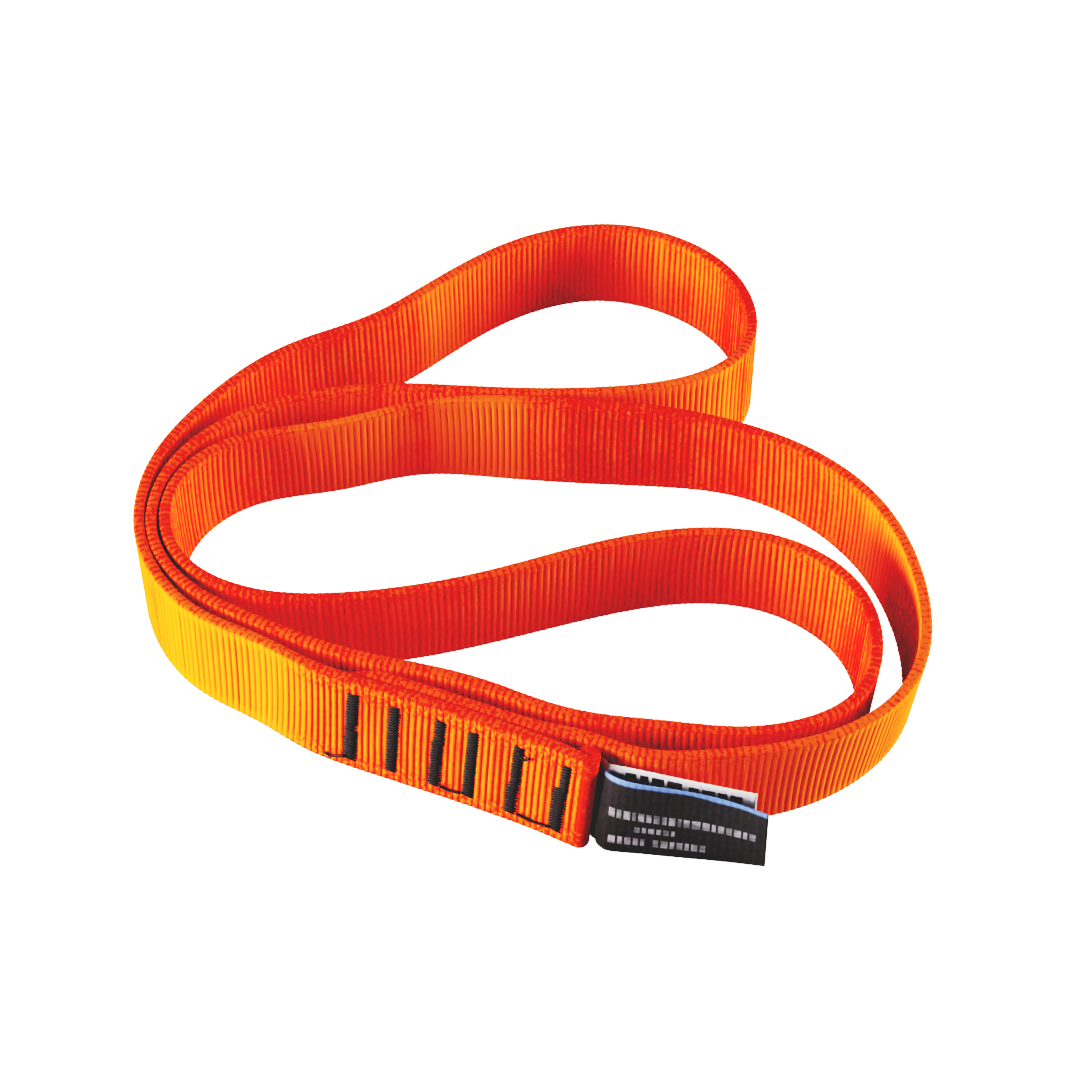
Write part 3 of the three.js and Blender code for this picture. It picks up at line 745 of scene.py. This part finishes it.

# ---- the label's printing: (start, end, low, high, slope) of each bar, along and up the leaf ----
FRONT_MARKS = (
    mark_row(0.0036, 0.0106, 0.0132, (0.0013, 0.0010, 0.0014, 0.0008, 0.0013, 0.0011) * 2, 0.0004, -0.02)
    + mark_row(0.0213, 0.0104, 0.0130, (0.0012, 0.0015, 0.0009, 0.0013) * 2, 0.0004, -0.04)
    + mark_row(0.0090, 0.0070, 0.0087, (0.0012, 0.0009, 0.0013, 0.0010, 0.0012, 0.0008), 0.0004)
    + mark_row(0.0040, 0.0029, 0.0052, (0.0014, 0.0010, 0.0013, 0.0011, 0.0009), 0.0004)
    + mark_row(0.0130, 0.0029, 0.0052, (0.0012, 0.0015, 0.0010, 0.0013, 0.0009, 0.0014, 0.0012), 0.0004)
)
BACK_MARKS = (
    mark_row(0.0160, 0.0186, 0.0212, (0.0022, 0.0016, 0.0024, 0.0030), 0.0008)
    + mark_row(0.0290, 0.0178, 0.0206, (0.0020, 0.0026, 0.0018, 0.0024), 0.0007)
)


# ---- the tape's pieces ----

FAR_CUTS = (rib_at(18.4), rib_at(46.6))
INNER_CUTS = (rib_at(57.6), rib_at(82.4))

splice_piece = tape_piece(
    "tape_splice_and_outer_bend", -HEM_RIBS, FAR_CUTS[0], BAR_PLACES,
    ["tape_splice_outer_ply", "tape_front_left_run", "tape_outer_bend_front", "tape_outer_bend_back"],
)
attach(splice_piece, "root")

far_piece = tape_piece(
    "tape_far_lobe", *FAR_CUTS, (),
    ["tape_far_lobe_outer_run", "tape_far_lobe_crown", "tape_far_lobe_right_bend",
     "tape_far_lobe_return_run", "tape_far_lobe_inner_run"],
)
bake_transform(far_piece)

middle_piece = tape_piece(
    "tape_middle_bend", FAR_CUTS[1], INNER_CUTS[0], (),
    ["tape_middle_bend_back", "tape_middle_bend_front"],
)
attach(middle_piece, "root")

inner_piece = tape_piece(
    "tape_inner_lobe", *INNER_CUTS, (),
    ["tape_inner_lobe_front_run", "tape_inner_lobe_front_curve", "tape_inner_lobe_right_bend",
     "tape_inner_lobe_crown", "tape_inner_lobe_back_run"],
)
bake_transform(inner_piece)

near_piece = tape_piece(
    "tape_near_lobe", INNER_CUTS[1], RIB_COUNT, INNER_BAR_PLACES,
    ["tape_core_bend_front", "tape_core_bend_back", "tape_near_lobe_back_run",
     "tape_near_lobe_shoulder", "tape_near_lobe_right_bend", "tape_near_lobe_front_curve",
     "tape_near_lobe_front_run", "tape_splice_inner_ply"],
)
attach(near_piece, "root")


# ---- stitching ----

for bar_index, bar_place in enumerate(BAR_PLACES, start=1):
    bar_tack(bar_index, bar_place)

HALF_BAR = BAR_WIDTH / 2
face_thread(
    "jump_thread_front_1", "jump_thread_1", BAR_PLACES[0] + HALF_BAR, BAR_PLACES[1] - HALF_BAR,
    (0.0034, 0.0031, 0.0034), (0, 0.0001, 0),
)
face_thread(
    "jump_thread_front_2", "jump_thread_2", BAR_PLACES[2] + HALF_BAR, BAR_PLACES[3] - HALF_BAR,
    (0.0037, 0.0034, 0.0037), (0, 0.0001, 0),
)
face_thread(
    "thread_tail_upper", "thread_end_1", BAR_PLACES[1] - HALF_BAR + 0.0005, BAR_PLACES[1] - 0.0036,
    (0.0206, 0.0200, 0.0196, 0.0199, 0.0204), (0, 0.0002, 0.0005, 0.0003, 0.0002),
)
face_thread(
    "thread_tail_lower", "thread_end_2", BAR_PLACES[5] + HALF_BAR - 0.0003, BAR_PLACES[5] + 0.0056,
    (0.0034, 0.0030, 0.0024, 0.0026), (0, 0.0001, 0.0003, 0.0002),
)


# ---- the label's two leaves ----

def tab_points():
    """The sewn tab's line on the inner ply's front, from inside the splice out to its end."""
    points = []
    for station in (TAB_STATION, TAB_STATION / 2, 0.08):
        place = tape.length_at(station)
        offset = behind(place)[1] - HALF - TAB_GAP - LABEL_THICKNESS / 2
        centre, _, right, _ = tape.frames(np.array(place))
        plan = centre + right * offset + np.array(FOOTPRINT_CENTRE)
        points.append((plan[0], plan[1], -SPLICE_OUTER[0][2]))
    return points


FRONT_ROOT = [(0.0117, -0.0838, -0.0046)]
BACK_BEND = [(0.0123, -0.0826, -0.0046)]

front_strip = Strip(FRONT_ROOT + FRONT_LEAF)
leaf_piece(
    "label_front", front_strip, FRONT_LEAF_LIFT, LEAF_CORNER, [LABEL_FRONT, PALE_PRINT],
    FRONT_MARKS, LEAF_BEND, ["label_front_leaf"],
)
back_strip = Strip(tab_points() + BACK_BEND + BACK_LEAF)
TAB_LENGTH = back_strip.length_at(len(tab_points()))
leaf_piece(
    "label_back", back_strip, LABEL_LIFT, 0.0, [LABEL_BACK, DARK_PRINT],
    BACK_MARKS, TAB_LENGTH + LEAF_BEND, ["label_back_leaf", "label_sewn_tab"],
)


# ---- floor, light and camera ----

def matte(name, glow):
    """A dull mid-grey surface that gives off white light of its own."""
    material = bpy.data.materials.new(name)
    material.use_nodes = True
    shader = material.node_tree.nodes["Principled BSDF"]
    shader.inputs["Base Color"].default_value = (0.5, 0.5, 0.5, 1)
    shader.inputs["Roughness"].default_value = 0.9
    shader.inputs["Specular IOR Level"].default_value = 0.1
    shader.inputs["Emission Color"].default_value = (1, 1, 1, 1)
    shader.inputs["Emission Strength"].default_value = glow
    return material


def look_at(thing, target):
    direction = Vector(target) - thing.location
    thing.rotation_mode = "QUATERNION"
    thing.rotation_quaternion = direction.to_track_quat("-Z", "Y")


def area_light(name, location, target, size, power):
    light = bpy.data.lights.new(name, "AREA")
    light.shape = "RECTANGLE"
    light.size, light.size_y = size
    light.energy = power
    lamp = bpy.data.objects.new(name, light)
    lamp.location = location
    bpy.context.collection.objects.link(lamp)
    look_at(lamp, target)


FLOOR_SIZE = 3.0               # half of its side
FLOOR_GAP = 0.0002             # between the glowing sheet and the floor below it


def plain_floor(name, height, material):
    corners = [(x * FLOOR_SIZE, y * FLOOR_SIZE, height) for x, y in ((-1, -1), (1, -1), (1, 1), (-1, 1))]
    floor = make_mesh(name, corners, [(0, 1, 2, 3)], [material])
    return floor


# A pale floor like a light table: the sheet that the camera sees glows, and the one below it gives
# back the soft light of the lamps.
floor = plain_floor("floor", 0.0, matte("glowing_floor", 1.0))
floor.visible_diffuse = False
floor.visible_glossy = False
floor.visible_shadow = False
floor_below = plain_floor("floor_below", -FLOOR_GAP, matte("pale_floor", 0.0))
floor_below.visible_camera = False

world = bpy.data.worlds.new("studio")
world.use_nodes = True
background = world.node_tree.nodes["Background"]
background.inputs["Color"].default_value = (1, 1, 1, 1)
background.inputs["Strength"].default_value = 1.0
bpy.context.scene.world = world
world.cycles_visibility.diffuse = False
world.cycles_visibility.glossy = False

MIDDLE = (0.0, 0.0, 0.012)
area_light("key_left", (-0.79, -0.19, 0.27), MIDDLE, (0.55, 0.35), 15)
area_light("fill_right", (0.81, 0.00, 0.27), MIDDLE, (0.40, 0.35), 11)
area_light("overhead", (0.0, 0.10, 0.95), MIDDLE, (0.9, 0.9), 0.8)

CAMERA_TARGET = (-FOOTPRINT_CENTRE[0], -FOOTPRINT_CENTRE[1], 0.0)
CAMERA_ELEVATION = math.radians(47)
CAMERA_DISTANCE = 0.55
SENSOR_WIDTH = 36              # in millimetres, like the lens
LENS = 78.833

camera_data = bpy.data.cameras.new("camera")
camera_data.sensor_width = SENSOR_WIDTH
camera_data.lens = LENS
camera = bpy.data.objects.new("camera", camera_data)
camera.location = (
    CAMERA_TARGET[0],
    CAMERA_TARGET[1] - CAMERA_DISTANCE * math.cos(CAMERA_ELEVATION),
    CAMERA_DISTANCE * math.sin(CAMERA_ELEVATION),
)
look_at(camera, CAMERA_TARGET)
bpy.context.collection.objects.link(camera)
bpy.context.scene.camera = camera

# A contrast curve, as for a product picture: blacks are lifted a little and the middle tones are deep.
TONE_ENDS = ((0.0, 0.017), (1.0, 1.0))
TONE = ((0.05, 0.02), (0.10, 0.08), (0.20, 0.32), (0.30, 0.56), (0.50, 0.76), (0.80, 0.88))

view = bpy.context.scene.view_settings
view.view_transform = "Standard"
view.use_curve_mapping = True
tone = view.curve_mapping.curves[3]
tone.points[0].location, tone.points[1].location = TONE_ENDS
for level, shown in TONE:
    tone.points.new(level, shown)
view.curve_mapping.update()
